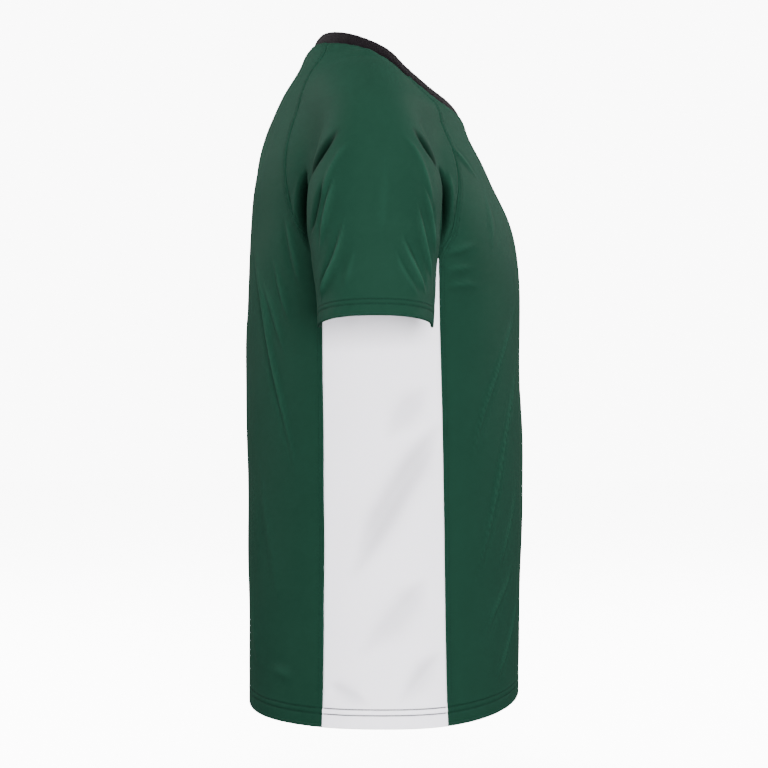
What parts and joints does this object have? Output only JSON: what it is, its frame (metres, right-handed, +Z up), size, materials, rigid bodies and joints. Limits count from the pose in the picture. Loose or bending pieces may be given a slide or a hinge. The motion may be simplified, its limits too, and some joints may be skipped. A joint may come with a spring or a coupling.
{
  "type": "short-sleeved training top",
  "caption": "Short-sleeved raglan training top in worn shape, hollow, with contrast side panels and a narrow rib neck band",
  "frame": {"origin": "on the centre plane, at mid depth, level with the high points of the shoulders, where the wearer's shoulders hold the top", "axes": "+Z up along the centre line, longest extent; -Y the way the front faces, the Y axis is the shortest extent; +X towards the wearer's left"},
  "size_m": [0.5936, 0.2938, 0.7133],
  "materials": {
    "green_jersey": "smooth polyester knit with a slight sheen",
    "white_jersey": "smooth polyester knit with a slight sheen",
    "black_rib": "fine matt rib knit"
  },
  "bodies": {
    "root": {"front_panel": "green_jersey", "back_panel": "green_jersey", "left_sleeve": "green_jersey", "right_sleeve": "green_jersey", "left_side_panel": "white_jersey", "right_side_panel": "white_jersey", "neck_band": "black_rib"}
  },
  "joints": []
}
